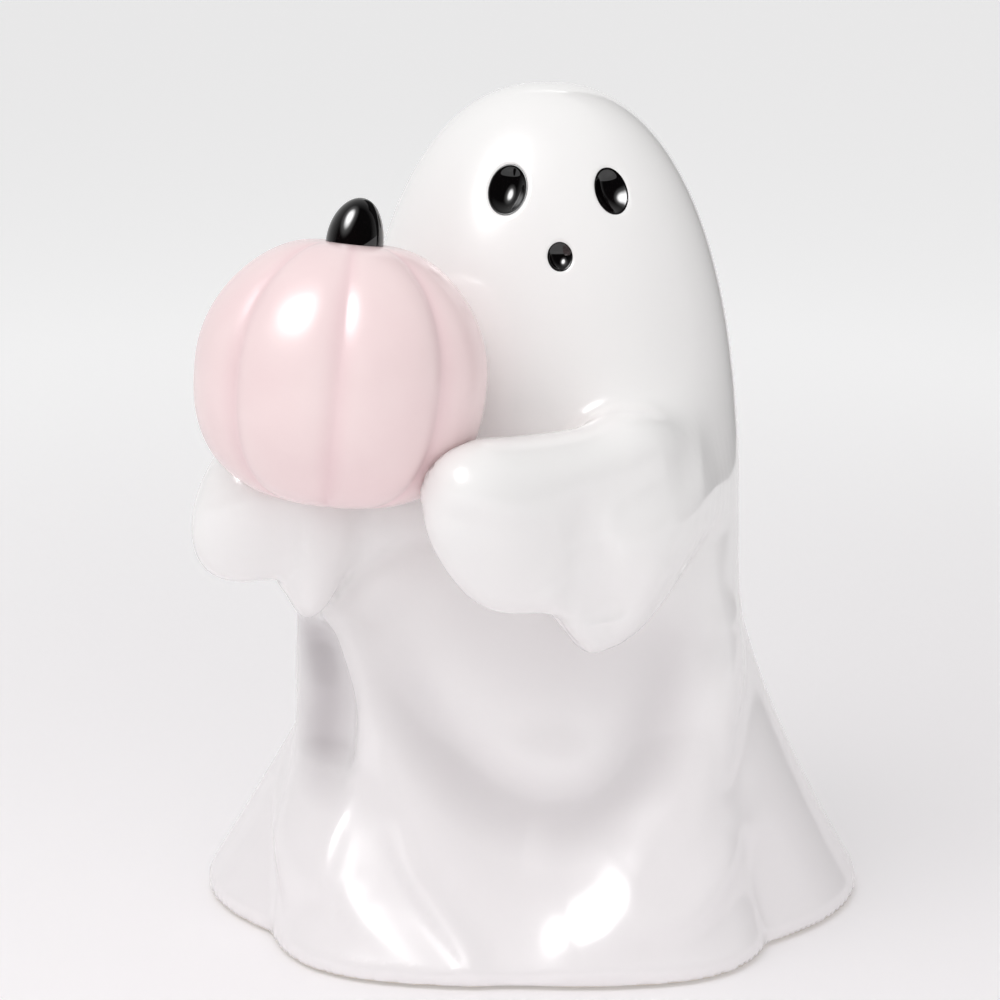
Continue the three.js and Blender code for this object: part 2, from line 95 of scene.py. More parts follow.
SLEEVE_FOLDS = [
    (2.4, 4.5, [(-1, 116), (4, 106), (9, 95)]),
    (-4.5, 6, [(10, 126), (13, 116), (14.5, 108), (15, 102)]),
    (2.4, 5, [(31, 118), (26, 108), (20, 96)]),
    (-3.5, 10, [(2, 130), (15, 133), (30, 138), (42, 139)]),
]
ARM_HEIGHT = 130  # level at which a sleeve's stand-off is measured
LEFT_SLEEVE = {  # stations hold a bearing, then stand-off, thickness, top and hem as shares
    "top": 154, "tall": 49, "thick": 36, "reach": 50, "hand_top": 4,
    "stations": [
        (66, -1.05, 0.60, -0.45, -0.72),
        (55, -0.80, 0.75, -0.28, -0.80),
        (44, -0.44, 0.90, -0.14, -0.94),
        (32, -0.05, 0.96, -0.02, -1.06),
        (19, 0.20, 1.00, 0.05, -1.18),
        (9, 0.34, 1.00, 0.00, -1.27),
        (4, 0.41, 0.97, -0.01, -1.14),
        (0, 0.48, 0.94, -0.01, -1.00),
        (-6, 0.62, 0.95, 0.00, -0.97),
        (-12, 0.80, 0.97, 0.02, -0.90),
        (-17.3, 1.00, 0.97, 0.02, -0.72),
    ],
}
RIGHT_SLEEVE = {
    "top": 151, "tall": 48, "thick": 38, "reach": 46, "hand_top": 2.1,
    "stations": [
        (-62, -0.34, 0.68, -0.27, -0.76),
        (-57, 0.00, 0.76, -0.19, -0.92),
        (-55.5, 0.17, 0.74, -0.15, -1.00),
        (-55, 0.31, 0.82, -0.08, -1.14),
        (-55.2, 0.40, 0.85, -0.04, -1.15),
        (-55.6, 0.49, 0.88, -0.01, -1.01),
        (-56, 0.57, 0.90, 0.00, -0.91),
        (-58, 0.74, 1.00, 0.00, -0.96),
        (-60.5, 1.00, 1.00, -0.12, -1.08),
    ],
}
SLEEVE_POWER = 2.4
SLEEVE_END, SLEEVE_END_POWER = 25, 2.1
HAND_TOP_FROM = 0.6  # level from which a hand has its top's bluntness
SLEEVE_HEM_THIN, SLEEVE_FULL_FROM = 0.6, 0.3  # a sleeve is thin at its hem and full from a level
SLEEVE_FOLDS_FROM = 6  # how far out from its middle line a sleeve has its folds' full depth
SLEEVE_SAMPLES = 97
SHOULDER_MELT, HAND_MELT = 36, 3  # how softly a sleeve runs into the body
MELT_SHARE = 0.9  # share of the arm over which the melt narrows
MELT_FULL_FROM = -0.1  # level from which it has its full width
BODY_WALL, BODY_FLOOR, VENT_DIAMETER = 5, 5, 14
VENT_SIDES, VENT_PAST = 48, 2
BLANK_SIDES, BLANK_ROWS = 96, 40
HOLLOW_SIDES, HOLLOW_ROWS = 72, 24
SKIN_CELL = 1.68  # spacing of the finished skin's mesh
SETTLE_ROUNDS, RELAX_ROUNDS = 4, 3
FACE_MARGINS = (1.9, 1.6, 1.3)  # reach of ever finer meshes round a dimple, in half dimples
DIMPLE_SEARCH = (5, 2)  # under a dimple's floor and over its rim

HEM_FRONT = PANEL_HEM["front"]
HEM_LEFT = SKIRT["left"][1]
body_low, body_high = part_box("ghost_body")
axis = Vector((body_high.x / MM - HEM_LEFT, body_low.y / MM + HEM_FRONT, 0))


def step(value, low, high):
    """0 below low, 1 above high and smooth between them."""
    share = np.clip((value - low) / (high - low), 0, 1)
    return share * share * (3 - 2 * share)


def soft_max(a, b, blend):
    """The larger of two fields, rounded where they are nearly equal."""
    near = np.maximum(blend - np.abs(a - b), 0) / blend
    return np.maximum(a, b) + near**3 * blend / 6


def soft_min(a, b, blend):
    """The smaller of two fields, rounded in the same way."""
    return -soft_max(-a, -b, blend)


def through(points, count):
    """A smooth line through the points, as an even count of steps."""
    points = np.asarray(points, float)
    held = np.vstack([2 * points[0] - points[1], points, 2 * points[-1] - points[-2]])
    place = np.linspace(0, len(points) - 1, count)
    first = np.minimum(place.astype(int), len(points) - 2)
    t = (place - first)[:, None]
    a, b, c, d = (held[first + i] for i in range(4))
    return 0.5 * (2 * b + (c - a) * t + (2 * a - 5 * b + 4 * c - d) * t**2
                  + (3 * b - a - 3 * c + d) * t**3)


def section(bearing, sides, squareness):
    """Distance from the axis to a rounded-box section's side along a bearing."""
    across, ahead = np.sin(bearing), np.cos(bearing)
    leftward = step(across, -QUADRANT_BLEND, QUADRANT_BLEND)
    forward = step(ahead, -QUADRANT_BLEND, QUADRANT_BLEND)
    width = np.maximum(sides["right"] + (sides["left"] - sides["right"]) * leftward, NO_WIDTH)
    depth = np.maximum(sides["back"] + (sides["front"] - sides["back"]) * forward, NO_WIDTH)
    total = np.abs(across / width) ** squareness + np.abs(ahead / depth) ** squareness
    return total ** (-1 / squareness)


def dome_share(height):
    """1 up to the shoulders, falling to 0 at the crown."""
    rise = np.clip((height - SHOULDER_HEIGHT) / (TOTAL_HEIGHT - SHOULDER_HEIGHT), 0, 1)
    return (1 - rise**DOME_POWER) ** (1 / DOME_POWER)


def flare(height, top, steepness):
    """1 on the hem's lip, falling to 0 at the top of a flare."""
    climb = np.maximum(0, height - FOOT - HEM_LIP) / (top - FOOT - HEM_LIP)
    return np.maximum(0, 1 - climb) ** steepness


def panel_sides(bearing, height):
    """Half widths and depths of the chest and of the front panel that grows out of it."""
    dome = dome_share(height)
    kick = flare(height, PANEL_KICK_HEIGHT, PANEL_KICK_POWER)
    behind = step(np.abs(np.degrees(bearing)), *SWELL_BACK)
    swell = RIGHT_SWELL * (1 - behind) * (1 - step(height, RIGHT_SWELL_FULL, RIGHT_SWELL_TOP))
    right_waist = HEAD_RADIUS + RIGHT_SWELL
    return {
        "left": HEAD_RADIUS * dome + (PANEL_HEM["left"] - HEAD_RADIUS) * kick,
        "right": HEAD_RADIUS * dome + swell + (PANEL_HEM["right"] - right_waist) * kick,
        "front": CHEST_DEPTH * dome + (PANEL_HEM["front"] - CHEST_DEPTH) * kick,
        "back": BACK_DEPTH * dome,
    }


def folds_rise(folds, across, height):
    """How far the cloth stands proud because of its folds."""
    total = np.zeros_like(across)
    places = np.column_stack([across, height])
    for rise, width, path in folds:
        line = through(path, FOLD_STEPS * len(path))
        low, high = line.min(0) - FOLD_REACH * width, line.max(0) + FOLD_REACH * width
        near = np.flatnonzero(np.all((places > low) & (places < high), axis=1))
        spots = places[near]
        best = np.full(len(near), np.inf)
        along = np.zeros(len(near))
        for i, (start, end) in enumerate(zip(line[:-1], line[1:])):
            run = end - start
            held = np.clip((spots - start) @ run / (run @ run), 0, 1)
            distance = np.linalg.norm(spots - start - held[:, None] * run, axis=1)
            along = np.where(distance < best, i + held, along)
            best = np.minimum(distance, best)
        last = len(line) - 1
        ends = np.minimum(along, last - along) / last
        total[near] += rise * step(ends, -FOLD_END, FOLD_END) * np.exp(-((best / width) ** 2))
    return total


def body_radius(bearing, height):
    """Distance from the axis to the cloth's surface at a bearing and a height."""
    squareness = PANEL_SQUARENESS + (CHEST_ROUNDNESS - PANEL_SQUARENESS) * step(
        height, SQUARE_BELOW, ROUND_ABOVE)
    panel = section(bearing, panel_sides(bearing, height), squareness)
    flared = {side: waist + (hem - waist) * flare(height, high, steepness)
              for side, (waist, hem, high, steepness) in SKIRT.items()}
    skirt = section(bearing, flared, 2)
    top = SKIRT["back"][2]
    below = 1 - step(height, top - SKIRT_FADE[0], top + SKIRT_FADE[1])
    radius = soft_max(panel, np.where(below > 0, skirt, 0), SKIRT_CREASE)
    radius = panel + (radius - panel) * below
    ahead = np.cos(bearing)
    folds = folds_rise(FOLDS, radius * np.sin(bearing), height)
    drop = np.maximum(0, 1 - height / PLEAT_TOP)
    pleat = PLEAT_DEPTH * np.cos(PLEAT_COUNT * bearing) * drop * step(-ahead, 0, PLEATS_FROM)
    return radius + step(ahead, 0, FOLDS_FROM) * folds + pleat


def body_field(points):
    """How far points lie outside the cast body, near its skin."""
    across, back, height = points.T
    reach = np.hypot(across, back)
    bearing = np.arctan2(across, -back)
    wall = reach - body_radius(bearing, np.clip(height, 0, TOTAL_HEIGHT))
    rise = np.maximum(0, height - SHOULDER_HEIGHT) / (TOTAL_HEIGHT - SHOULDER_HEIGHT)
    sides = {"left": HEAD_RADIUS, "right": HEAD_RADIUS, "front": CHEST_DEPTH, "back": BACK_DEPTH}
    girth = section(bearing, sides, CHEST_ROUNDNESS)
    crown = girth * (((reach / girth) ** DOME_POWER + rise**DOME_POWER) ** (1 / DOME_POWER) - 1)
    high = step(height, *CROWN_BLEND)
    return wall * (1 - high) + crown * high


def arm_line(sleeve):
    """A sleeve's middle line and its sizes along it, shoulder first."""
    bearing, off, thick, top, hem = through(sleeve["stations"], SLEEVE_SAMPLES).T
    off, thick = off * sleeve["reach"], thick * sleeve["thick"]
    top, hem = (sleeve["top"] + share * sleeve["tall"] for share in (top, hem))
    bearing = np.radians(bearing)
    reach = body_radius(bearing, np.full_like(bearing, ARM_HEIGHT)) + off
    line = np.stack([reach * np.sin(bearing), -reach * np.cos(bearing)], 1)
    ahead = np.gradient(line, axis=0)
    ahead /= np.linalg.norm(ahead, axis=1)[:, None]
    steps = np.linalg.norm(np.diff(line, axis=0), axis=1)
    return {
        "line": line,
        "ahead": ahead,
        "outward": np.stack([-ahead[:, 1], ahead[:, 0]], 1),
        "run": np.concatenate([[0], np.cumsum(steps)]),
        "middle": (top + hem) / 2,
        "tall": (top - hem) / 2,
        "thick": thick / 2,
        "hand_top": sleeve["hand_top"],
    }


def sleeve_field(points, arm, folds=()):
    """How far points lie outside a sleeve, and how widely it melts into the body beside them."""
    spots = points[:, :2]
    line = arm["line"]
    nearest = np.argmin((line**2).sum(1) - 2 * spots @ line.T, 1)
    gap = spots - line[nearest]
    run = arm["run"][nearest] + (gap * arm["ahead"][nearest]).sum(1)
    out = (gap * arm["outward"][nearest]).sum(1)
    middle, tall, thick = (np.interp(run, arm["run"], arm[key]) for key in ("middle", "tall", "thick"))
    level = (points[:, 2] - middle) / tall
    fullness = SLEEVE_HEM_THIN + (1 - SLEEVE_HEM_THIN) * step(level, -1, SLEEVE_FULL_FROM)
    across = np.abs(out) / (thick * fullness)
    ring = (across**SLEEVE_POWER + np.abs(level) ** SLEEVE_POWER) ** (1 / SLEEVE_POWER)
    length = arm["run"][-1]
    beyond = np.maximum(0, run - (length - SLEEVE_END)) / SLEEVE_END
    top_share = step(level, 0, HAND_TOP_FROM)
    blunt = SLEEVE_END_POWER + (arm["hand_top"] - SLEEVE_END_POWER) * top_share
    whole = (ring**blunt + beyond**blunt) ** (1 / blunt)
    field = (whole - 1) * np.minimum(tall, thick)
    if folds:
        depth = folds_rise(folds, points[:, 0], points[:, 2])
        field = field - step(out, 0, SLEEVE_FOLDS_FROM) * depth
    melt = (1 - step(run / length, 0, MELT_SHARE)) * step(level, -1, MELT_FULL_FROM)
    return np.maximum(field, -run), HAND_MELT + (SHOULDER_MELT - HAND_MELT) * melt


def near_arm(points, arm):
    """The points that a sleeve can reach."""
    margin = arm["thick"].max() + SHOULDER_MELT
    low = [*(arm["line"].min(0) - margin), (arm["middle"] - arm["tall"]).min() - SHOULDER_MELT]
    high = [*(arm["line"].max(0) + margin), (arm["middle"] + arm["tall"]).max() + SHOULDER_MELT]
    return np.flatnonzero(np.all((points > low) & (points < high), axis=1))


def lathe(name, profile, steps):
    """A closed or axis-to-axis profile of (radius, height) turned about +Z into one skin."""
    mesh = bmesh.new()
    points = [mesh.verts.new((radius, 0, height)) for radius, height in profile]
    for start, end in zip(points[:-1], points[1:]):
        mesh.edges.new((start, end))
    bmesh.ops.spin(mesh, geom=mesh.verts[:] + mesh.edges[:], axis=(0, 0, 1), cent=(0, 0, 0),
                   steps=steps, angle=2 * math.pi, use_merge=True)
    bmesh.ops.remove_doubles(mesh, verts=mesh.verts[:], dist=WELD_DISTANCE)
    bmesh.ops.recalc_face_normals(mesh, faces=mesh.faces[:])
    data = bpy.data.meshes.new(name)
    mesh.to_mesh(data)
    mesh.free()
    return data


def points_of(data):
    """A mesh's points as an array."""
    points = np.empty(len(data.vertices) * 3)
    data.vertices.foreach_get("co", points)
    return points.reshape(-1, 3)


def set_points(data, points):
    """Puts a mesh's points in new places."""
    data.vertices.foreach_set("co", np.asarray(points, float).ravel())
    data.update()


def polar(bearing, reach, height):
    """Points from their bearings, distances from the axis and heights."""
    return np.stack([reach * np.sin(bearing), -reach * np.cos(bearing), height], -1)


def body_blank(name, inset, sides, rows):
    """The body's form, its level walls pulled in by an inset, shaped from a turned drum of radius 1."""
    bottom = FOOT + (BODY_FLOOR if inset else 0)
    low = np.linspace(bottom, SHOULDER_HEIGHT, rows)
    angle = np.linspace(0, math.pi / 2, rows)[1:]
    high = SHOULDER_HEIGHT + (TOTAL_HEIGHT - SHOULDER_HEIGHT) * np.sin(angle) ** (2 / DOME_POWER)
    heights = np.concatenate([low, high])
    profile = [(0, bottom)] + [(1, height) for height in heights[:-1]] + [(0, TOTAL_HEIGHT)]
    data = lathe(name, profile, sides)
    points = points_of(data)
    reach = np.hypot(points[:, 0], points[:, 1])
    bearing = np.arctan2(points[:, 0], -points[:, 1])
    height = points[:, 2]
    outer = body_radius(bearing, height)
    inner = outer - inset * np.minimum(1, outer / HEAD_RADIUS)
    rise = np.maximum(0, height - SHOULDER_HEIGHT) / (TOTAL_HEIGHT - SHOULDER_HEIGHT)
    on_axis = reach < 0.5
    set_points(data, polar(bearing, np.where(on_axis, 0, inner), height - inset * rise))
    return data


def sleeve_blank(name, arm, sides=24, rows=40, hand_rows=8):
    """A capped tube bent along a sleeve's middle line."""
    length = arm["run"][-1]
    wrist = 1 - SLEEVE_END / length
    angle = np.linspace(0, math.pi / 2, hand_rows + 1)[1:]
    hand = zip(np.cos(angle) ** (2 / SLEEVE_END_POWER),
               wrist + (1 - wrist) * np.sin(angle) ** (2 / SLEEVE_END_POWER))
    profile = [(0, 0)] + [(1, wrist * i / rows) for i in range(rows + 1)]
    profile += [(max(0, size), run) for size, run in hand]
    profile[-1] = (0, 1)
    data = lathe(name, profile, sides)
    points = points_of(data)
    size = np.hypot(points[:, 0], points[:, 1])
    angle = np.arctan2(points[:, 1], points[:, 0])
    run = np.clip(points[:, 2], 0, 1) * length
    at = {key: np.interp(run, arm["run"], arm[key]) for key in ("middle", "tall", "thick")}
    line, outward = (np.stack([np.interp(run, arm["run"], arm[key][:, i]) for i in range(2)], 1)
                     for key in ("line", "outward"))
    placed = line + outward * (np.cos(angle) * at["thick"] * size)[:, None]
    set_points(data, np.column_stack([placed, at["middle"] + np.sin(angle) * at["tall"] * size]))
    return data


left_arm = arm_line(LEFT_SLEEVE)
right_arm = arm_line(RIGHT_SLEEVE)

# The pumpkin's form comes here, because the chest and both hands are pressed to it while the slip
# is wet. The eyes and the mouth are dimples, pressed in with a rounded tool.
PUMPKIN_WIDTH, PUMPKIN_HEIGHT = 78.9, 72.5
PUMPKIN_SEAT = 133.3  # height of its underside
PUMPKIN_BEARING = math.radians(-37.8)
PUMPKIN_BEDDING = 1.5  # how far the chest is let into it
PUMPKIN_TOP_POWER, PUMPKIN_BASE_POWER = 2.0, 2.5
PUMPKIN_LEAN, PUMPKIN_TIP = math.radians(6), math.radians(5)
LOBES = 8
LOBE_TURN = math.radians(24)
GROOVE_DEPTH, GROOVE_SOFTNESS = 2.6, 0.09
CROWN_DIP, CROWN_DIP_WIDTH = 3, 11
BASE_DIP_SHARE = 0.4  # how deep the dip in its base is beside the crown's
SEAT_GAP, SEAT_LIP = 0.25, 4
FACE_TURN = math.radians(4.9)
RIGHT_EYE = (12.0, 16.4, 3.6)  # width, height and depth of a dimple
LEFT_EYE = (10.8, 15.1, 3.6)
EYE_SPACING = 28.4
RIGHT_EYE_DROP, LEFT_EYE_DROP = 26.3, 26.9  # below the crown
MOUTH = (7.5, 8.9, 2.6)
MOUTH_DROP, MOUTH_TURN = 43.8, math.radians(4)
DIMPLE_LIP = 1.2


def groove_at(bearing):
    """1 in the middle of a groove between two lobes, 0 on the crest of a lobe."""
    swing = np.sin((LOBES / 2) * (bearing - LOBE_TURN) + math.pi / 2)
    return (1 - np.minimum(1, np.hypot(swing, GROOVE_SOFTNESS))) ** 2


def crown_dip(reach, height):
    """How far the pumpkin's crown, or its base, sinks round its middle."""
    side = np.where(height > 0, 1, BASE_DIP_SHARE)
    return CROWN_DIP * np.exp(-((reach / CROWN_DIP_WIDTH) ** 2)) * side


pumpkin_level = PUMPKIN_SEAT + PUMPKIN_HEIGHT / 2
pumpkin_reach = (float(body_radius(np.array([PUMPKIN_BEARING]), np.array([pumpkin_level]))[0])
                 + PUMPKIN_WIDTH / 2 - PUMPKIN_BEDDING)
pumpkin_middle = Vector(polar(PUMPKIN_BEARING, pumpkin_reach, pumpkin_level))
pumpkin_turn = Matrix.Rotation(-PUMPKIN_TIP, 3, "X") @ Matrix.Rotation(PUMPKIN_LEAN, 3, "Y")
pumpkin_place = Matrix.Translation(pumpkin_middle) @ pumpkin_turn.to_4x4()


def pumpkin_field(points):
    """How far points lie outside the pumpkin, near its skin."""
    local = (points - np.array(pumpkin_middle)) @ np.array(pumpkin_turn)
    reach = np.hypot(local[:, 0], local[:, 1])
    bearing = np.arctan2(local[:, 0], -local[:, 1])
    radius, rise = PUMPKIN_WIDTH / 2, PUMPKIN_HEIGHT / 2
    whole = reach / (1 - GROOVE_DEPTH * groove_at(bearing) / radius) / radius
    height = (local[:, 2] + np.sign(local[:, 2]) * crown_dip(reach, local[:, 2])) / rise
    power = np.where(local[:, 2] > 0, PUMPKIN_TOP_POWER, PUMPKIN_BASE_POWER)
    return ((whole**power + np.abs(height) ** power) ** (1 / power) - 1) * radius


def face_normal(bearing, height, turn=0.02, rise=1):
    """Which way the head faces at a place on it, from a small step to each side."""
    def at(b, h):
        return polar(b, float(body_radius(np.array([b]), np.array([h]))[0]), h)
    level = at(bearing + turn, height) - at(bearing - turn, height)
    upward = at(bearing, height + rise) - at(bearing, height - rise)
    return Vector(np.cross(level, upward)).normalized()


def dimple(size, bearing, height):
    """A dimple's middle on the skin, its half sizes, and its own right, up and outward axes."""
    facing = face_normal(bearing, height)
    right = Vector((0, 0, 1)).cross(facing).normalized()
    middle = polar(bearing, float(body_radius(np.array([bearing]), np.array([height]))[0]), height)
    return {
        "middle": np.array(middle),
        "half": np.array([size[0] / 2, size[1] / 2, size[2]]),
        "turn": np.array([right, facing.cross(right), facing]),
    }


eye_reach = float(body_radius(np.array([FACE_TURN]), np.array([TOTAL_HEIGHT - RIGHT_EYE_DROP]))[0])
eye_swing = math.asin(EYE_SPACING / 2 / eye_reach)
face = {
    "right_eye_glaze": dimple(RIGHT_EYE, FACE_TURN - eye_swing, TOTAL_HEIGHT - RIGHT_EYE_DROP),
    "left_eye_glaze": dimple(LEFT_EYE, FACE_TURN + eye_swing, TOTAL_HEIGHT - LEFT_EYE_DROP),
    "mouth_glaze": dimple(MOUTH, MOUTH_TURN, TOTAL_HEIGHT - MOUTH_DROP),
}


def dimple_field(points, form):
    """How far points lie outside a dimple, which is a bowl of parabolic section."""
    local = (points - form["middle"]) @ form["turn"].T
    across, deep = local[:, :2] / form["half"][:2], form["half"][2]
    slope = 2 * deep * across / form["half"][:2]
    return (deep * ((across**2).sum(1) - 1) - local[:, 2]) / np.sqrt(1 + (slope**2).sum(1))


def skin_field(points, pressed=True):
    """How far points lie outside the white skin, with the face pressed into it or not."""
    field = body_field(points)
    for arm, folds in ((left_arm, SLEEVE_FOLDS), (right_arm, ())):
        near = near_arm(points, arm)
        sleeve, melt = sleeve_field(points[near], arm, folds)
        field[near] = soft_min(field[near], sleeve, melt)
    field = soft_max(field, FOOT - points[:, 2], HEM_ROUND)
    field = soft_max(field, SEAT_GAP - pumpkin_field(points), SEAT_LIP)
    for form in face.values() if pressed else ():
        field = soft_max(field, -dimple_field(points, form), DIMPLE_LIP)
    return field


def settle(points, rounds, limit=2.0, reach=0.02, flattest=0.05):
    """Moves points straight onto the skin, before the face is pressed into it."""
    for _ in range(rounds):
        here = skin_field(points, False)
        slope = np.stack([skin_field(points + reach * way, False) - here for way in np.eye(3)], 1)
        slope /= reach
        move = here / np.maximum((slope**2).sum(1), flattest)
        offset = move[:, None] * slope
        length = np.linalg.norm(offset, axis=1)[:, None]
        points = points - offset * np.minimum(1, limit / np.maximum(length, NO_WIDTH))
    return points


def new_object(name, data):
    """Puts a mesh or a camera into the scene."""
    piece = bpy.data.objects.new(name, data)
    bpy.context.scene.collection.objects.link(piece)
    return piece


def apply_modifiers(piece):
    """Makes a piece's modifiers part of its mesh."""
    graph = bpy.context.evaluated_depsgraph_get()
    data = bpy.data.meshes.new_from_object(piece.evaluated_get(graph))
    piece.modifiers.clear()
    piece.data = data


def settle_along(start, direction, low, high, rounds=18):
    """Where lines from the start points first meet the skin, as a distance along a direction."""
    inside, outside = np.full(len(start), low), np.full(len(start), high)
    for _ in range(rounds):
        middle = (inside + outside) / 2
        within = skin_field(start + middle[:, None] * direction) < 0
        inside, outside = np.where(within, middle, inside), np.where(within, outside, middle)
    return (inside + outside) / 2


def by_dimple(points, form, margin):
    """Which points lie within a margin of a dimple, counted in half dimples."""
    reach = np.array([*form["half"][:2], CHEST_DEPTH / 2])
    return np.linalg.norm((points - form["middle"]) @ form["turn"].T / reach, axis=1) < margin


def press_face(data):
    """Splits the skin's faces finely round each dimple and presses them in."""
    below, above = DIMPLE_SEARCH
    mesh = bmesh.new()
    mesh.from_mesh(data)
    for form in face.values():
        for margin in FACE_MARGINS:
            points = np.array([vert.co for vert in mesh.verts])
            inside = by_dimple(points, form, margin)
            mesh.verts.ensure_lookup_table()
            edges = {edge for index in np.flatnonzero(inside) for edge in mesh.verts[index].link_edges
                     if inside[edge.verts[0].index] and inside[edge.verts[1].index]}
            bmesh.ops.subdivide_edges(mesh, edges=list(edges), cuts=1, use_grid_fill=True)
    mesh.to_mesh(data)
    mesh.free()
    points = settle(points_of(data), rounds=2)
    for form in face.values():
        facing = form["turn"][2]
        near = np.flatnonzero(by_dimple(points, form, FACE_MARGINS[0]))
        local = (points[near] - form["middle"]) @ form["turn"].T
        flat = form["middle"] + local[:, :2] @ form["turn"][:2]
        floor = settle_along(flat, facing, -form["half"][2] - below, above)
        points[near] = flat + floor[:, None] * facing
    set_points(data, points)


def glazed_skin():
    """One skin over body and sleeves: blanks fused, then settled onto their smooth union."""
    blanks = bmesh.new()
    for data in (body_blank("body_blank", 0, BLANK_SIDES, BLANK_ROWS),
                 sleeve_blank("left_blank", left_arm), sleeve_blank("right_blank", right_arm)):
        blanks.from_mesh(data)
        bpy.data.meshes.remove(data)
    data = bpy.data.meshes.new("ghost_skin")
    blanks.to_mesh(data)
    blanks.free()
    skin = new_object("ghost_skin", data)
    fuse = skin.modifiers.new("fuse", "REMESH")
    fuse.mode = "VOXEL"
    fuse.voxel_size = SKIN_CELL
    apply_modifiers(skin)
    set_points(skin.data, settle(points_of(skin.data), SETTLE_ROUNDS))
    for _ in range(RELAX_ROUNDS):
        mesh = bmesh.new()
        mesh.from_mesh(skin.data)
        bmesh.ops.smooth_vert(mesh, verts=mesh.verts[:], factor=0.5, use_axis_x=True,
                              use_axis_y=True, use_axis_z=True)
        mesh.to_mesh(skin.data)
        mesh.free()
        set_points(skin.data, settle(points_of(skin.data), rounds=1))
    press_face(skin.data)
    return skin


ghost_skin = glazed_skin()


def cut(piece, tool):
    """Takes a closed tool away from a closed piece."""
    carve = piece.modifiers.new("carve", "BOOLEAN")
    carve.operation = "DIFFERENCE"
    carve.solver = "MANIFOLD"
    carve.object = tool
    apply_modifiers(piece)
    piece.data.materials.clear()
    bpy.data.objects.remove(tool)


cut(ghost_skin, new_object("hollow", body_blank("hollow", BODY_WALL, HOLLOW_SIDES, HOLLOW_ROWS)))
vent_radius, vent_low, vent_high = VENT_DIAMETER / 2, FOOT - VENT_PAST, FOOT + BODY_FLOOR + VENT_PAST
vent = [(0, vent_low), (vent_radius, vent_low), (vent_radius, vent_high), (0, vent_high)]
cut(ghost_skin, new_object("vent", lathe("vent", vent, VENT_SIDES)))


def into_place(piece):
    """Millimetres about the axis become metres in the part's frame, and the skin is shaded smooth."""
    piece.data.transform(Matrix.Scale(MM, 4) @ Matrix.Translation(axis))
    piece.data.shade_smooth()


into_place(ghost_skin)
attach(ghost_skin, "root")
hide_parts("ghost_body", "left_sleeve", "right_sleeve")

# The glaze is a clear gloss over white slip: a touch warm, with the faint ripple of a dipped coat.
# It is painted greyer in the cloth's hollows and in a band under the arms and the pumpkin, a little
# for glaze that pools there and mostly as painted shade. The wiped foot under the base is bare biscuit.
WHITE_BODY, WHITE_LOW = (0.90, 0.888, 0.882), (0.91, 0.878, 0.888)
WHITE_POOL_AND_SHADE, BISCUIT = (0.60, 0.565, 0.58), (0.66, 0.60, 0.53)
WHITE_LOW_FROM, BISCUIT_FROM = (0.15, 0.03), (0.0016, 0.0012)  # heights in metres
WHITE_POOL_AND_SHADE_FROM = (0.1, 1)  # how deep a hollow is, for the pooled glaze and painted shade
WHITE_ROUGHNESS, BISCUIT_ROUGHNESS = 0.13, 0.75
PAINTED_SHADE_BANDS = [(-2.6, 17, [(-32, 104), (-8, 86), (14, 82), (36, 94)])]  # painted shade under the arms and pumpkin, beyond what the folds hold
RIPPLE_SIZE, RIPPLE_HEIGHT = 0.006, 0.00002  # metres between a glaze's ripples, and their height
RIPPLE_DETAIL, RIPPLE_SHARPNESS = 1, 0.35
CLOUDS, CLOUD_DETAIL = 28, 3  # to the metre
GLAZE_MOTTLE = 1.0  # how strongly a coloured glaze clouds


def new_material(name):
    """A material with its nodes and links."""
    material = bpy.data.materials.new(name)
    material.use_nodes = True
    return material, material.node_tree.nodes, material.node_tree.links


def ripple_group():
    """Node group: the uneven coat of a dipped glaze, as a height and a faint mottle."""
    group = bpy.data.node_groups.new("glaze_coat", "ShaderNodeTree")
    kind = "NodeSocketFloat"
    for name, start in (("Size", RIPPLE_SIZE), ("Mottle", GLAZE_MOTTLE)):
        group.interface.new_socket(name, in_out="INPUT", socket_type=kind).default_value = start
    for name in ("Height", "Mottle"):
        group.interface.new_socket(name, in_out="OUTPUT", socket_type=kind)
    nodes, links = group.nodes, group.links
    given, out = nodes.new("NodeGroupInput"), nodes.new("NodeGroupOutput")
    place = nodes.new("ShaderNodeTexCoord")
    scale = nodes.new("ShaderNodeMath")
    scale.operation = "DIVIDE"
    scale.inputs[0].default_value = 1
    links.new(given.outputs["Size"], scale.inputs[1])
    ripple = nodes.new("ShaderNodeTexNoise")
    ripple.inputs["Detail"].default_value = RIPPLE_DETAIL
    ripple.inputs["Roughness"].default_value = RIPPLE_SHARPNESS
    links.new(place.outputs["Object"], ripple.inputs["Vector"])
    links.new(scale.outputs[0], ripple.inputs["Scale"])
    links.new(ripple.outputs["Fac"], out.inputs["Height"])
    cloud = nodes.new("ShaderNodeTexNoise")
    cloud.inputs["Scale"].default_value = CLOUDS
    cloud.inputs["Detail"].default_value = CLOUD_DETAIL
    links.new(place.outputs["Object"], cloud.inputs["Vector"])
    spread = nodes.new("ShaderNodeMath")
    spread.operation = "MULTIPLY"
    links.new(cloud.outputs["Fac"], spread.inputs[0])
    links.new(given.outputs["Mottle"], spread.inputs[1])
    links.new(spread.outputs[0], out.inputs["Mottle"])
    return group


glaze_coat = ripple_group()


def add_coat(nodes, links, shader, size, height, mottle=GLAZE_MOTTLE):
    """Puts the glaze's ripple on a shader and returns its mottle output."""
    coat = nodes.new("ShaderNodeGroup")
    coat.node_tree = glaze_coat
    coat.inputs["Size"].default_value = size
    coat.inputs["Mottle"].default_value = mottle
    bump = nodes.new("ShaderNodeBump")
    bump.inputs["Distance"].default_value = height
    bump.inputs["Strength"].default_value = 1
    links.new(coat.outputs["Height"], bump.inputs["Height"])
    links.new(bump.outputs["Normal"], shader.inputs["Normal"])
    return coat.outputs["Mottle"]


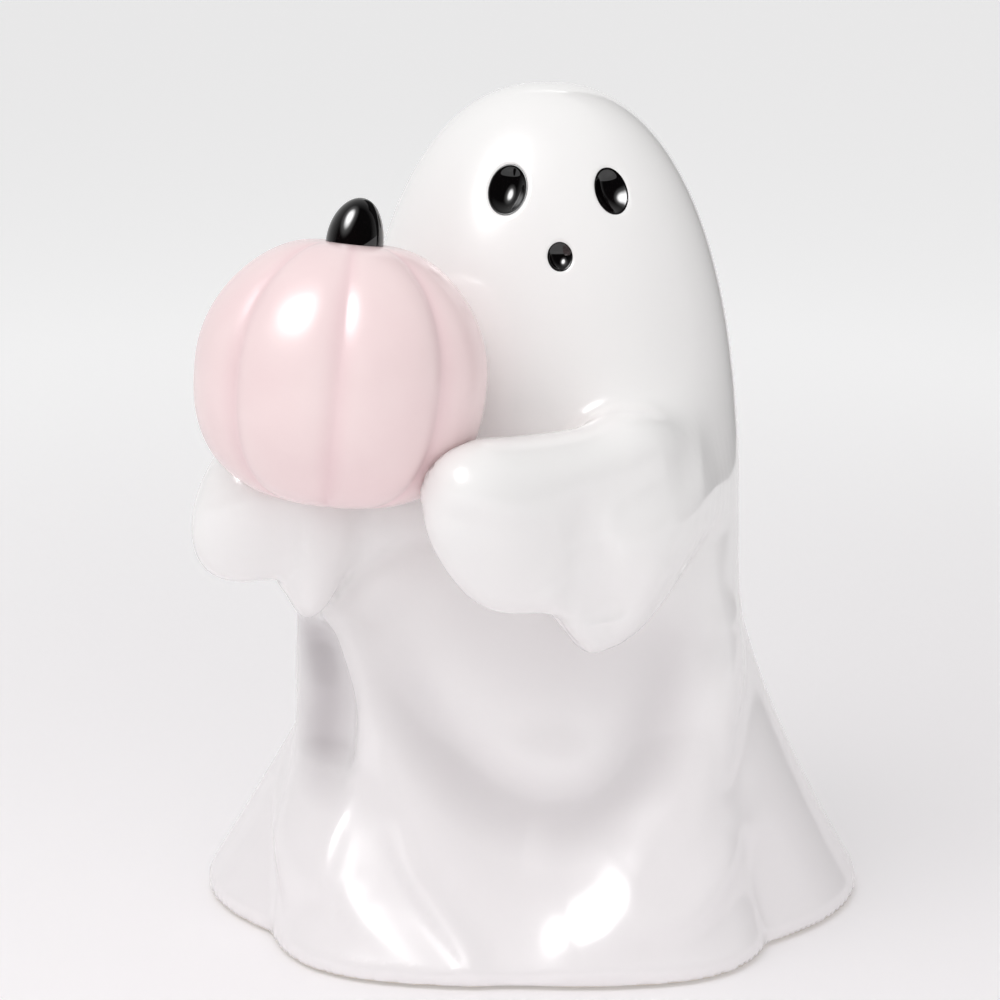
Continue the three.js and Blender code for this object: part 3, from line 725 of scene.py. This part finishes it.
def mixed(nodes, links, share, low, high):
    """A colour between two, each a constant or a socket, by a share."""
    mix = nodes.new("ShaderNodeMix")
    mix.data_type = "RGBA"
    links.new(share, mix.inputs["Factor"])
    for socket, value in ((mix.inputs["A"], low), (mix.inputs["B"], high)):
        if isinstance(value, tuple):
            socket.default_value = (*value, 1)
        else:
            links.new(value, socket)
    return mix.outputs["Result"]


def ranged(nodes, links, value, low, high, to_low=0.0, to_high=1.0):
    """A value's range low to high, stretched to another and held there."""
    spread = nodes.new("ShaderNodeMapRange")
    for name, number in (("From Min", low), ("From Max", high), ("To Min", to_low), ("To Max", to_high)):
        spread.inputs[name].default_value = number
    links.new(value, spread.inputs["Value"])
    return spread.outputs["Result"]


def attribute(nodes, name):
    """A value that a mesh stores at its points."""
    node = nodes.new("ShaderNodeAttribute")
    node.attribute_name = name
    return node.outputs["Fac"]


def mark_pool_and_shade(data):
    """Stores, up to 1, how deep each point lies in the cloth's folds and bands, which the glaze shows as
    painted shade and pooling.
    """
    points = points_of(data) / MM - np.array(axis)
    deep = folds_rise([fold for fold in FOLDS if fold[0] < 0] + PAINTED_SHADE_BANDS, points[:, 0], points[:, 2])
    ahead = step(-points[:, 1], -20, 10)
    deepest = max(-fold[0] for fold in FOLDS)
    # Painted shade: "hollow" holds the depth of the painted shade, with a little pooled glaze, and reaches
    # out to the sides.
    data.attributes.new("hollow", "FLOAT", "POINT").data.foreach_set("value", -deep / deepest * ahead)


mark_pool_and_shade(ghost_skin.data)
white_glaze, nodes, links = new_material("white_glaze")
shader = nodes["Principled BSDF"]
add_coat(nodes, links, shader, RIPPLE_SIZE, RIPPLE_HEIGHT)
place = nodes.new("ShaderNodeTexCoord")
apart = nodes.new("ShaderNodeSeparateXYZ")
links.new(place.outputs["Object"], apart.inputs["Vector"])
low_down = ranged(nodes, links, apart.outputs["Z"], *WHITE_LOW_FROM)
# Painted shade: the white greys towards the painted-shade colour with the stored depth.
pool_and_shade = ranged(nodes, links, attribute(nodes, "hollow"), *WHITE_POOL_AND_SHADE_FROM)
colour = mixed(nodes, links, low_down, WHITE_BODY, WHITE_LOW)
colour = mixed(nodes, links, pool_and_shade, colour, WHITE_POOL_AND_SHADE)
bare = ranged(nodes, links, apart.outputs["Z"], *BISCUIT_FROM)
colour = mixed(nodes, links, bare, colour, BISCUIT)
links.new(colour, shader.inputs["Base Color"])
roughness = ranged(nodes, links, bare, 0, 1, WHITE_ROUGHNESS, BISCUIT_ROUGHNESS)
links.new(roughness, shader.inputs["Roughness"])
ghost_skin.data.materials.append(white_glaze)

# Pumpkin: a hollow casting with eight lobes and a hole underneath, luted to the chest and to both
# hands. Its pink glaze is thin on the crests of the lobes and pools, deeper, in the grooves.
PUMPKIN_WALL, PUMPKIN_VENT = 4, 8
PUMPKIN_SIDES, PUMPKIN_ROWS = 288, 120
PINK_CREST, PINK_POOL = (0.90, 0.735, 0.735), (0.80, 0.57, 0.60)
PINK_ROUGHNESS, PINK_GLOSS = 0.22, 0.4
PINK_RIPPLE = (0.8, 1.5)  # size and height beside the white glaze's ripple
PINK_POOLED, PINK_CLOUDED = (0.25, 0.9, 0, 0.45), (0.35, 0.7, 0, 0.35)


def pumpkin_outline(inset, rows):
    """Half the pumpkin's outline, from the hole in its underside to its top."""
    radius, rise = PUMPKIN_WIDTH / 2 - inset, PUMPKIN_HEIGHT / 2 - inset
    start = math.acos((PUMPKIN_VENT / 2 / radius) ** (PUMPKIN_BASE_POWER / 2))
    outline = []
    for i in range(rows + 1):
        angle = -start + (start + math.pi / 2) * i / rows
        power = PUMPKIN_BASE_POWER if angle < 0 else PUMPKIN_TOP_POWER
        across = abs(math.cos(angle)) ** (2 / power) if i < rows else 0
        outline.append((radius * across, math.copysign(rise * abs(math.sin(angle)) ** (2 / power), angle)))
    return outline


def pumpkin_shell():
    """The pumpkin's skin and its hollow in one turned mesh, with its lobes pressed in."""
    outside = pumpkin_outline(0, PUMPKIN_ROWS)
    inside = pumpkin_outline(PUMPKIN_WALL, PUMPKIN_ROWS // 2)
    data = lathe("pumpkin", outside[::-1] + inside, PUMPKIN_SIDES)
    points = points_of(data)
    reach = np.hypot(points[:, 0], points[:, 1])
    bearing = np.arctan2(points[:, 0], -points[:, 1])
    groove = groove_at(bearing)
    depth = GROOVE_DEPTH * groove * reach / (PUMPKIN_WIDTH / 2)
    height = points[:, 2] - np.sign(points[:, 2]) * crown_dip(reach, points[:, 2])
    set_points(data, polar(bearing, reach - depth, height))
    data.attributes.new("groove", "FLOAT", "POINT").data.foreach_set(
        "value", groove * np.minimum(1, reach / CROWN_DIP_WIDTH))
    data.transform(pumpkin_place)
    return new_object("pink_pumpkin", data)


pumpkin = pumpkin_shell()
into_place(pumpkin)
pumpkin.data.set_sharp_from_angle(angle=math.radians(60))
pink_glaze, nodes, links = new_material("pink_glaze")
shader = nodes["Principled BSDF"]
shader.inputs["Roughness"].default_value = PINK_ROUGHNESS
shader.inputs["Specular IOR Level"].default_value = PINK_GLOSS
mottle = add_coat(nodes, links, shader, RIPPLE_SIZE * PINK_RIPPLE[0], RIPPLE_HEIGHT * PINK_RIPPLE[1])
pool_and_shade = ranged(nodes, links, attribute(nodes, "groove"), *PINK_POOLED)
clouded = ranged(nodes, links, mottle, *PINK_CLOUDED)
colour = mixed(nodes, links, pool_and_shade, PINK_CREST, PINK_POOL)
colour = mixed(nodes, links, clouded, colour, PINK_POOL)
links.new(colour, shader.inputs["Base Color"])
pumpkin.data.materials.append(pink_glaze)
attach(pumpkin, "root")
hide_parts("pumpkin_shell")

# Stem: a solid egg of a knob, pressed into the dip of the pumpkin and dipped in black gloss. It
# leans a little and isn't quite round, as a piece pinched by hand.
STEM_WIDTH, STEM_HEIGHT, STEM_ROOT, STEM_FULLNESS = 15.5, 12.6, 3, 1.0
STEM_LEAN, STEM_WOBBLE = 0.8, 0.03
STEM_SIDES, STEM_ROWS = 96, 56
BLACK_GLOSS, BLACK_THIN = (0.0015, 0.0012, 0.0014), (0.008, 0.003, 0.003)
BLACK_ROUGHNESS, BLACK_SHINE, BLACK_RIPPLE = 0.04, 0.8, 0.5
BLACK_CLOUDED = (0.5, 0.8, 0, 0.25)


def pumpkin_stem():
    """The knob, turned as an egg, then bent and squeezed a little."""
    dip = PUMPKIN_HEIGHT / 2 - CROWN_DIP
    profile = []
    for i in range(STEM_ROWS + 1):
        angle = (i / STEM_ROWS - 0.5) * math.pi
        rise = STEM_HEIGHT if angle > 0 else STEM_ROOT
        across = math.cos(angle) ** STEM_FULLNESS if 0 < i < STEM_ROWS else 0
        profile.append((STEM_WIDTH / 2 * across, rise * math.sin(angle)))
    data = lathe("stem", profile, STEM_SIDES)
    points = points_of(data)
    reach = np.hypot(points[:, 0], points[:, 1])
    bearing = np.arctan2(points[:, 0], -points[:, 1])
    up = np.clip(points[:, 2] / STEM_HEIGHT, 0, 1)
    round_by = 1 + STEM_WOBBLE * (np.cos(2 * bearing + 1) + 0.5 * np.cos(3 * bearing)) * (1 - up)
    placed = polar(bearing, reach * round_by, points[:, 2] + dip)
    placed[:, 0] += STEM_LEAN * up**2
    set_points(data, placed)
    data.transform(pumpkin_place)
    return new_object("black_stem", data)


stem = pumpkin_stem()
into_place(stem)
black_glaze, nodes, links = new_material("black_glaze")
shader = nodes["Principled BSDF"]
shader.inputs["Roughness"].default_value = BLACK_ROUGHNESS
shader.inputs["Specular IOR Level"].default_value = BLACK_SHINE
mottle = add_coat(nodes, links, shader, RIPPLE_SIZE * BLACK_RIPPLE, RIPPLE_HEIGHT)
clouded = ranged(nodes, links, mottle, *BLACK_CLOUDED)
links.new(mixed(nodes, links, clouded, BLACK_GLOSS, BLACK_THIN), shader.inputs["Base Color"])
stem.data.materials.append(black_glaze)
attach(stem, "root")
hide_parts("pumpkin_stem")

# Eyes and mouth: black gloss glaze brushed into each dimple by hand. It is a third of a millimetre
# thick, with a rounded, slightly wavy edge that stays inside the dimple's lip.
POOL_SHARE, POOL_THICKNESS, POOL_LIFT, POOL_WAVE = 0.92, 0.35, 0.05, 0.015
POOL_WAVES = (2, 3, 5, 8)  # waves round an edge
POOL_EDGE_POWER = 8  # more is a steeper edge
POOL_RINGS, POOL_SIDES = 24, 96
POOL_SEARCH = (1, 2)  # under a dimple's floor and over its rim


def glaze_pool(name, form, seed):
    """A thin closed pool of glaze that follows the floor of a dimple."""
    rings = [i / POOL_RINGS for i in range(POOL_RINGS + 1)]
    over, under = [(ring, 1) for ring in rings], [(ring, 0) for ring in rings]
    data = lathe(name, over + under[::-1], POOL_SIDES)
    points = points_of(data)
    share = np.hypot(points[:, 0], points[:, 1])
    bearing = np.arctan2(points[:, 0], -points[:, 1])
    draw = np.random.default_rng(seed)
    wave = sum(draw.uniform(-1, 1) * np.cos(k * bearing + draw.uniform(0, 6)) / k for k in POOL_WAVES)
    spread = share * POOL_SHARE * (1 + POOL_WAVE * wave)
    across = spread * np.sin(bearing) * form["half"][0]
    up = -spread * np.cos(bearing) * form["half"][1]
    right, above, facing = form["turn"]
    flat = form["middle"] + across[:, None] * right + up[:, None] * above
    floor = settle_along(flat, facing, -form["half"][2] - POOL_SEARCH[0], POOL_SEARCH[1])
    rounding = np.sqrt(np.maximum(0, 1 - share**POOL_EDGE_POWER))
    thick = POOL_THICKNESS * rounding * points[:, 2]
    set_points(data, flat + (floor + POOL_LIFT + thick)[:, None] * facing)
    pool = new_object(name.replace("glaze", "pool"), data)
    into_place(pool)
    data.materials.append(black_glaze)
    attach(pool, "root")
    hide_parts(name)


for seed, (name, form) in enumerate(face.items()):
    glaze_pool(name, form, seed)

# Felt pads: four discs of pale felt, die-cut and stuck under the base, so that the bare biscuit
# doesn't scratch a shelf.
PAD_EDGE, PAD_SIDES = 0.2, 64
FELT_PALE, FELT_SHADE = (0.62, 0.60, 0.57), (0.40, 0.385, 0.36)
FIBRES, FIBRE_HEIGHT = 1500, 0.0002  # to the metre, and in metres
felt, nodes, links = new_material("felt")
shader = nodes["Principled BSDF"]
shader.inputs["Roughness"].default_value = 0.95
shader.inputs["Sheen Weight"].default_value = 0.3
place = nodes.new("ShaderNodeTexCoord")
fibre = nodes.new("ShaderNodeTexNoise")
fibre.inputs["Scale"].default_value = FIBRES
fibre.inputs["Detail"].default_value = 4
links.new(place.outputs["Object"], fibre.inputs["Vector"])
links.new(mixed(nodes, links, fibre.outputs["Fac"], FELT_SHADE, FELT_PALE), shader.inputs["Base Color"])
bump = nodes.new("ShaderNodeBump")
bump.inputs["Distance"].default_value = FIBRE_HEIGHT
links.new(fibre.outputs["Fac"], bump.inputs["Height"])
links.new(bump.outputs["Normal"], shader.inputs["Normal"])
for name in [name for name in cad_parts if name.startswith("felt_pad")]:
    low, high = (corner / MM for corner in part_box(name))
    radius, thickness = (high.x - low.x) / 2, high.z - low.z
    profile = [(0, 0), (radius - PAD_EDGE, 0), (radius, PAD_EDGE), (radius, thickness - PAD_EDGE),
               (radius - PAD_EDGE, thickness), (0, thickness)]
    data = lathe(name, profile, PAD_SIDES)
    middle = (low + high) / 2
    data.transform(Matrix.Scale(MM, 4) @ Matrix.Translation((middle.x, middle.y, low.z)))
    data.shade_smooth()
    data.set_sharp_from_angle(angle=math.radians(30))
    data.materials.append(felt)
    pad = new_object(name.replace("felt_pad", "felt_disc"), data)
    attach(pad, "root")
    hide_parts(name)

# Table and studio: a pale table runs back to a bright room. Soft panels light the ghost from ahead
# on the left, from the right and from above. Three more, and a dark card behind on the right, show
# only in the glaze.
TABLE_SIZE = 16.0
# The table is painted darker near the ghost, where the panels' light pools on it, and paler far off, so
# that it reads evenly bright.
TABLE_NEAR, TABLE_FAR = (0.70, 0.673, 0.687), (0.90, 0.895, 0.90)
TABLE_FALL = (0.1, 1.1)  # metres from the ghost over which the table pales
TABLE_PAINTED_GLOW = (0.24, 0.29)  # painted glow near and far, which keeps its shadows pale
ROOM_LIGHT, ROOM_SEEN = 0.58, 0.86  # the room's light on the ghost, and as the camera sees it
ROOM_AHEAD, ROOM_BEHIND = 0.02, 0.82  # what the glaze mirrors of it
ROOM_TURN = (-0.2, 0.9)  # ahead to behind, where the one gives way to the other
CARD_SIZE = (0.7, 0.9)
PANEL_RIM = 0.5  # half a panel's side, where its light has faded out
AIM_HEIGHT = 0.12
bpy.context.scene.view_settings.view_transform = "Standard"
foot = Vector((axis.x, axis.y, 0)) * MM


def stage_plane(name, width, depth):
    """A flat piece of the studio."""
    mesh = bmesh.new()
    bmesh.ops.create_grid(mesh, x_segments=1, y_segments=1, size=0.5)
    bmesh.ops.scale(mesh, vec=(width, depth, 1), verts=mesh.verts)
    data = bpy.data.meshes.new(name)
    mesh.to_mesh(data)
    mesh.free()
    plane = new_object(name, data)
    return plane


def stand(thing, bearing, elevation, distance):
    """Stands a studio piece round the ghost, facing it, out of the camera's sight."""
    level, up = math.radians(bearing), math.radians(elevation)
    away = Vector((math.sin(level) * math.cos(up), -math.cos(level) * math.cos(up), math.sin(up)))
    thing.location = foot + Vector((0, 0, AIM_HEIGHT)) + distance * away
    thing.rotation_euler = away.to_track_quat("Z", "Y").to_euler()
    thing.visible_camera = False


def distance_fall(nodes, links, middle, near, far):
    """0 within a distance of a place on a stage piece, 1 beyond another, from Object coordinates."""
    place = nodes.new("ShaderNodeTexCoord")
    gap = nodes.new("ShaderNodeVectorMath")
    gap.operation = "DISTANCE"
    gap.inputs[1].default_value = middle
    links.new(place.outputs["Object"], gap.inputs[0])
    fall = nodes.new("ShaderNodeMapRange")
    fall.interpolation_type = "SMOOTHSTEP"
    fall.inputs["From Min"].default_value, fall.inputs["From Max"].default_value = near, far
    links.new(gap.outputs["Value"], fall.inputs["Value"])
    return fall.outputs["Result"]


table = stage_plane("table", TABLE_SIZE, TABLE_SIZE)
table_top, nodes, links = new_material("table")
shader = nodes["Principled BSDF"]
shader.inputs["Roughness"].default_value = 0.7
fall = distance_fall(nodes, links, foot, *TABLE_FALL)
links.new(mixed(nodes, links, fall, TABLE_NEAR, TABLE_FAR), shader.inputs["Base Color"])
# Painted glow: the table gives off light of its own, which keeps its shadows pale.
shader.inputs["Emission Color"].default_value = (1, 1, 1, 1)
links.new(ranged(nodes, links, fall, 0, 1, *TABLE_PAINTED_GLOW), shader.inputs["Emission Strength"])
table.data.materials.append(table_top)

card = stage_plane("dark_card", *CARD_SIZE)
black_cloth, nodes, links = new_material("black_cloth")
nodes["Principled BSDF"].inputs["Base Color"].default_value = (0.02, 0.02, 0.02, 1)
nodes["Principled BSDF"].inputs["Roughness"].default_value = 0.9
card.data.materials.append(black_cloth)
stand(card, 130, 25, 0.62)
card.visible_diffuse = False

world = bpy.data.worlds.new("room")
bpy.context.scene.world = world
world.use_nodes = True
nodes, links = world.node_tree.nodes, world.node_tree.links
place, apart = nodes.new("ShaderNodeTexCoord"), nodes.new("ShaderNodeSeparateXYZ")
links.new(place.outputs["Generated"], apart.inputs["Vector"])
mirrored = ranged(nodes, links, apart.outputs["Y"], *ROOM_TURN, ROOM_AHEAD, ROOM_BEHIND)
sight = nodes.new("ShaderNodeLightPath")
by_glaze, by_eye = nodes.new("ShaderNodeMix"), nodes.new("ShaderNodeMix")
by_glaze.inputs["A"].default_value = ROOM_LIGHT
links.new(sight.outputs["Is Glossy Ray"], by_glaze.inputs["Factor"])
links.new(mirrored, by_glaze.inputs["B"])
by_eye.inputs["B"].default_value = ROOM_SEEN
links.new(sight.outputs["Is Camera Ray"], by_eye.inputs["Factor"])
links.new(by_glaze.outputs["Result"], by_eye.inputs["A"])
background = nodes["Background"]
background.inputs["Color"].default_value = (1, 1, 1, 1)
links.new(by_eye.outputs["Result"], background.inputs["Strength"])


def soft_light(name, bearing, elevation, distance, size, core, glow):
    """A panel of light, brightest in its oval core and fading to its clear rim."""
    panel = stage_plane(name, 1, 1)
    panel.scale = (*size, 1)
    material, nodes, links = new_material(name)
    nodes.remove(nodes["Principled BSDF"])
    emission, clear = nodes.new("ShaderNodeEmission"), nodes.new("ShaderNodeBsdfTransparent")
    fall = distance_fall(nodes, links, (0, 0, 0), core, PANEL_RIM)
    glowing = nodes.new("ShaderNodeMath")
    glowing.operation = "MULTIPLY"
    links.new(ranged(nodes, links, fall, 0, 1, glow, 0), glowing.inputs[0])
    links.new(nodes.new("ShaderNodeNewGeometry").outputs["Backfacing"], glowing.inputs[1])
    links.new(glowing.outputs[0], emission.inputs["Strength"])
    both = nodes.new("ShaderNodeAddShader")
    links.new(emission.outputs["Emission"], both.inputs[0])
    links.new(clear.outputs["BSDF"], both.inputs[1])
    links.new(both.outputs["Shader"], nodes["Material Output"].inputs["Surface"])
    panel.data.materials.append(material)
    stand(panel, bearing, elevation, distance)
    return panel


# Bearing and elevation in degrees, distance and size in metres, core's share, and strength.
key = soft_light("key_light", -46, 50, 0.95, (1.3, 1.3), 0.23, 1.3)
fill = soft_light("fill_light", 26, 12, 1.1, (1.4, 1.4), 0.15, 0.58)
top = soft_light("top_light", -10, 68, 1.1, (1.4, 1.4), 0.15, 0.9)
for lamp in (key, fill, top):
    lamp.visible_glossy = False
glow = soft_light("key_glow", -46, 53, 0.95, (1.2, 1.3), 0.08, 2)
glint = soft_light("key_glint", -46, 53, 0.94, (0.62, 0.76), 0.12, 16)
back = soft_light("back_strip", 166, 46, 0.9, (0.8, 0.05), 0.1, 2.5)
for lamp in (glow, glint, back):
    lamp.visible_diffuse = False

# Camera: it stands a little above the ghost's crown and to its right, at arm's length, and looks
# down on it.
CAMERA = Vector((-13.3, -800, 300))  # from the foot of the ghost's axis, in millimetres
CAMERA_DIP = math.radians(12.81)
SENSOR_WIDTH, FOCAL_LENGTH = 36, 100.4
lens = bpy.data.cameras.new("camera")
lens.sensor_width = SENSOR_WIDTH
lens.lens = FOCAL_LENGTH
camera = new_object("camera", lens)
camera.location = (axis + CAMERA) * MM
camera.rotation_euler = (math.pi / 2 - CAMERA_DIP, 0, 0)
bpy.context.scene.camera = camera
